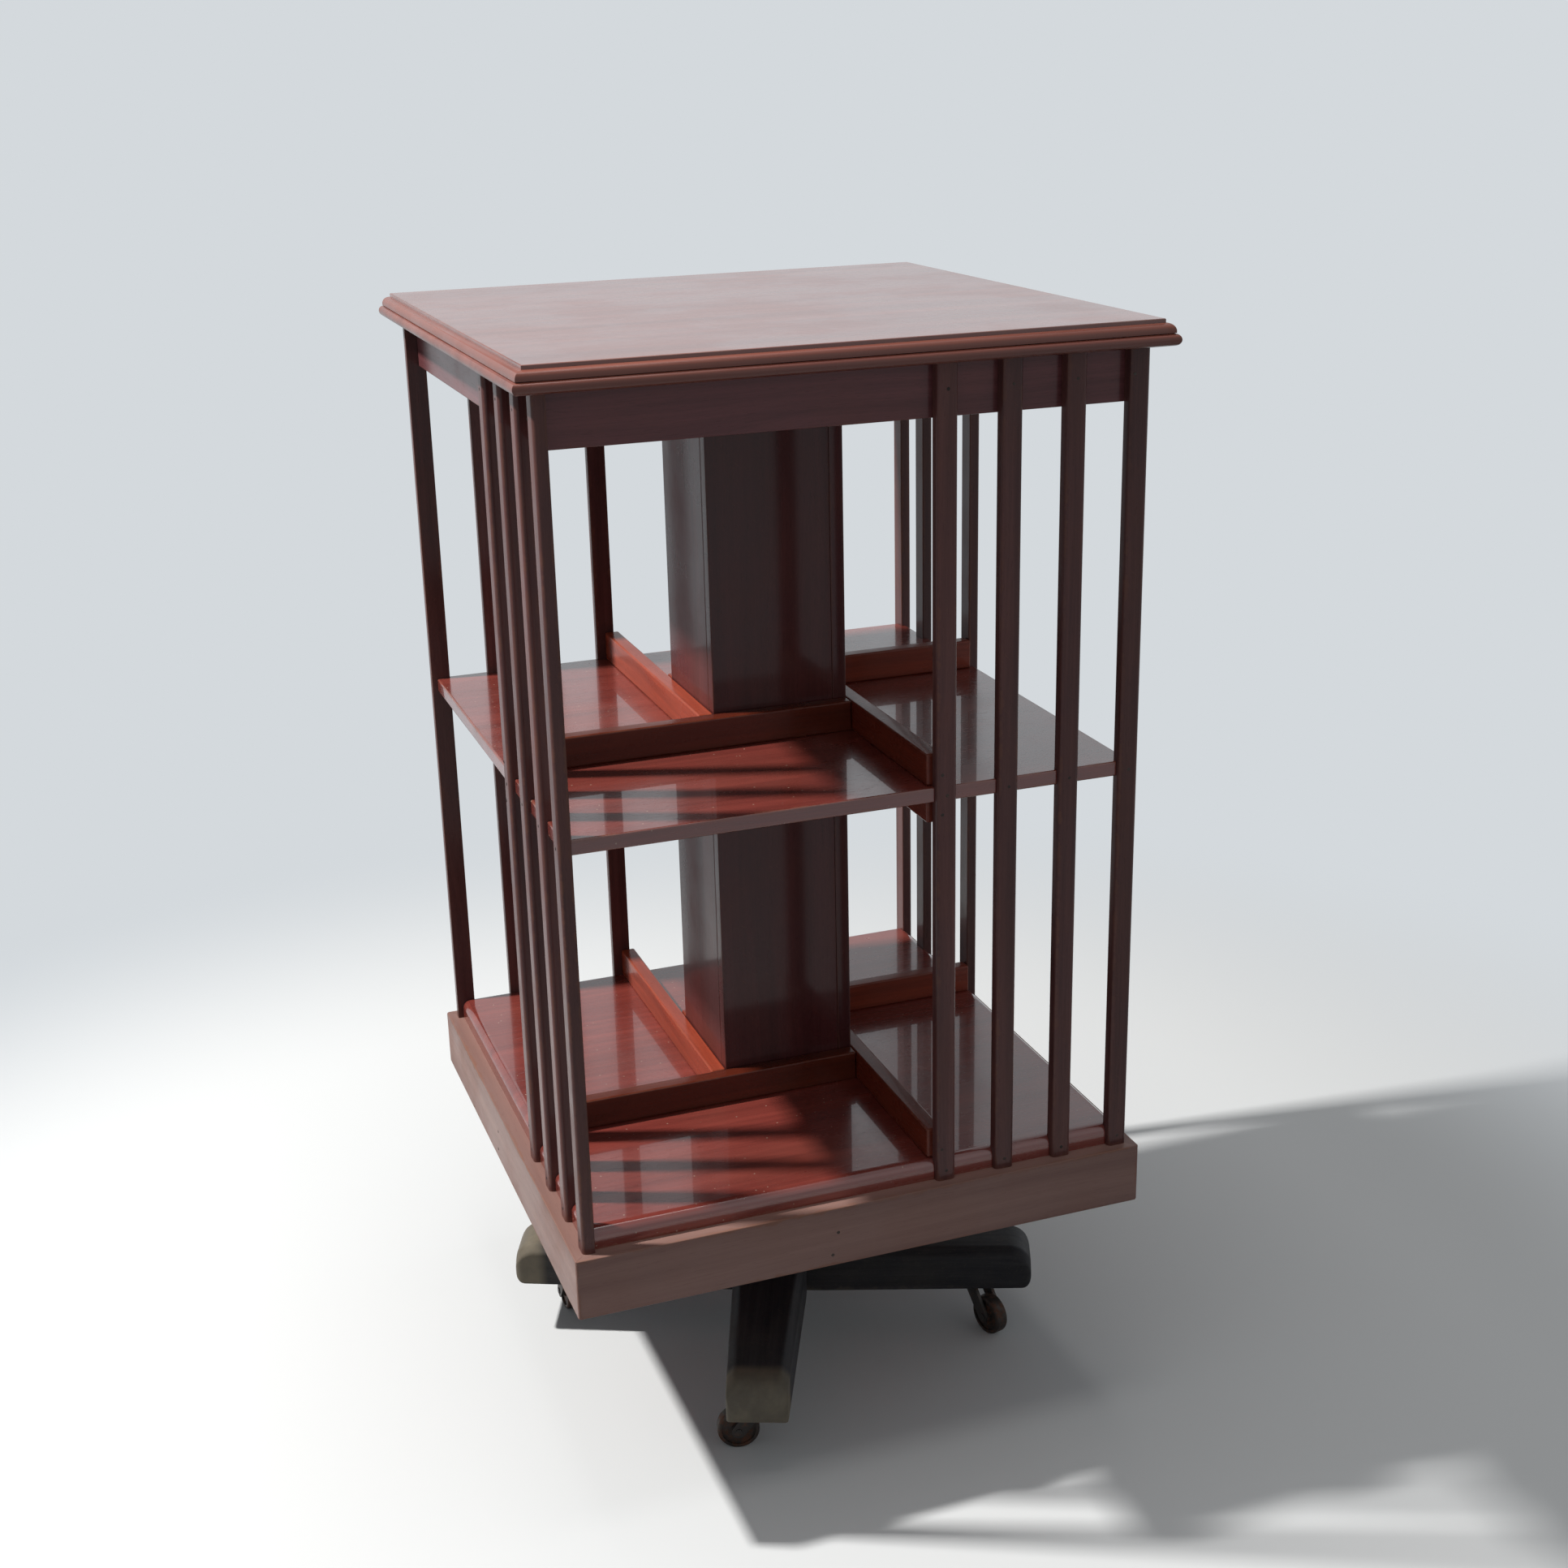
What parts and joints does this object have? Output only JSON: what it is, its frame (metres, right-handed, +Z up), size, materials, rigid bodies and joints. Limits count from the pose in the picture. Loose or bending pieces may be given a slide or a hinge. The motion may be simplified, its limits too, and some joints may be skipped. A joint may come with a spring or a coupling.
{
  "type": "revolving bookcase",
  "caption": "Square two-tier revolving bookcase in dark polished wood, open bays round a hollow column behind slats, turning on a cross foot with casters.",
  "frame": {"origin": "on the floor under the spindle, at the middle of the case", "axes": "+Z up along the spindle; -Y towards the front face; +X to the right of the front face"},
  "size_m": [0.498, 0.498, 0.929],
  "materials": {
    "polished_top": "polished mahogany",
    "mahogany": "polished mahogany",
    "slat_mahogany": "polished mahogany",
    "plinth_mahogany": "worn mahogany",
    "inner_pine": "raw softwood",
    "stand_wood": "dusty stained wood",
    "iron": "dull dark iron",
    "caster_iron": "rusty iron",
    "bronze": "plain bearing bronze",
    "steel_pins": "darkened steel"
  },
  "bodies": {
    "stand": {"cross_bar_lower": "stand_wood", "cross_bar_upper": "stand_wood", "pedestal_block": "stand_wood", "spindle": "iron", "bearing_plate": "iron", "thrust_washer": "bronze", "caster_plates": "iron", "stand_screws": "steel_pins"},
    "carcass": {"top_board": "polished_top", "frieze_front": "mahogany", "frieze_right": "mahogany", "frieze_back": "mahogany", "frieze_left": "mahogany", "slat_front_1": "slat_mahogany", "slat_front_2": "slat_mahogany", "slat_front_3": "slat_mahogany", "slat_front_4": "slat_mahogany", "slat_right_1": "slat_mahogany", "slat_right_2": "slat_mahogany", "slat_right_3": "slat_mahogany", "slat_right_4": "slat_mahogany", "slat_back_1": "slat_mahogany", "slat_back_2": "slat_mahogany", "slat_back_3": "slat_mahogany", "slat_back_4": "slat_mahogany", "slat_left_1": "slat_mahogany", "slat_left_2": "slat_mahogany", "slat_left_3": "slat_mahogany", "slat_left_4": "slat_mahogany", "mid_shelf": "mahogany", "bottom_board": "mahogany", "plinth_front": "plinth_mahogany", "plinth_right": "plinth_mahogany", "plinth_back": "plinth_mahogany", "plinth_left": "plinth_mahogany", "column_front": "mahogany", "column_right": "mahogany", "column_back": "mahogany", "column_left": "mahogany", "upper_book_stops": "mahogany", "lower_book_stops": "mahogany", "shelf_bearers": "mahogany", "plinth_blocks": "inner_pine", "slat_pins": "steel_pins", "spindle_block": "inner_pine", "spindle_bush": "bronze", "pivot_plate": "iron", "pivot_plate_screws": "steel_pins"},
    "caster_right": {"caster_horn_right": "iron", "caster_axle_right": "iron"},
    "wheel_right": {"caster_wheel_right": "caster_iron"},
    "caster_back": {"caster_horn_back": "iron", "caster_axle_back": "iron"},
    "wheel_back": {"caster_wheel_back": "caster_iron"},
    "caster_left": {"caster_horn_left": "iron", "caster_axle_left": "iron"},
    "wheel_left": {"caster_wheel_left": "caster_iron"},
    "caster_front": {"caster_horn_front": "iron", "caster_axle_front": "iron"},
    "wheel_front": {"caster_wheel_front": "caster_iron"}
  },
  "joints": [
    {"name": "carcass_spin", "type": "hinge", "parent": "stand", "child": "carcass", "pos_m": [0, 0, 0.249], "axis": [0, 0, 1], "continuous": true},
    {"name": "caster_right_swivel", "type": "hinge", "parent": "stand", "child": "caster_right", "pos_m": [0.17213, -0.07307, 0.047], "axis": [0, 0, 1], "continuous": true},
    {"name": "caster_right_roll", "type": "hinge", "parent": "caster_right", "child": "wheel_right", "pos_m": [0.17731, -0.09238, 0.018], "axis": [-0.9659, -0.2588, 0], "continuous": true},
    {"name": "caster_back_swivel", "type": "hinge", "parent": "stand", "child": "caster_back", "pos_m": [0.07307, 0.17213, 0.047], "axis": [0, 0, 1], "continuous": true},
    {"name": "caster_back_roll", "type": "hinge", "parent": "caster_back", "child": "wheel_back", "pos_m": [0.09307, 0.17213, 0.018], "axis": [0, -1, 0], "continuous": true},
    {"name": "caster_left_swivel", "type": "hinge", "parent": "stand", "child": "caster_left", "pos_m": [-0.17213, 0.07307, 0.047], "axis": [0, 0, 1], "continuous": true},
    {"name": "caster_left_roll", "type": "hinge", "parent": "caster_left", "child": "wheel_left", "pos_m": [-0.17213, 0.09307, 0.018], "axis": [1, 0, 0], "continuous": true},
    {"name": "caster_front_swivel", "type": "hinge", "parent": "stand", "child": "caster_front", "pos_m": [-0.07307, -0.17213, 0.047], "axis": [0, 0, 1], "continuous": true},
    {"name": "caster_front_roll", "type": "hinge", "parent": "caster_front", "child": "wheel_front", "pos_m": [-0.09238, -0.16696, 0.018], "axis": [0.2588, 0.9659, 0], "continuous": true}
  ]
}
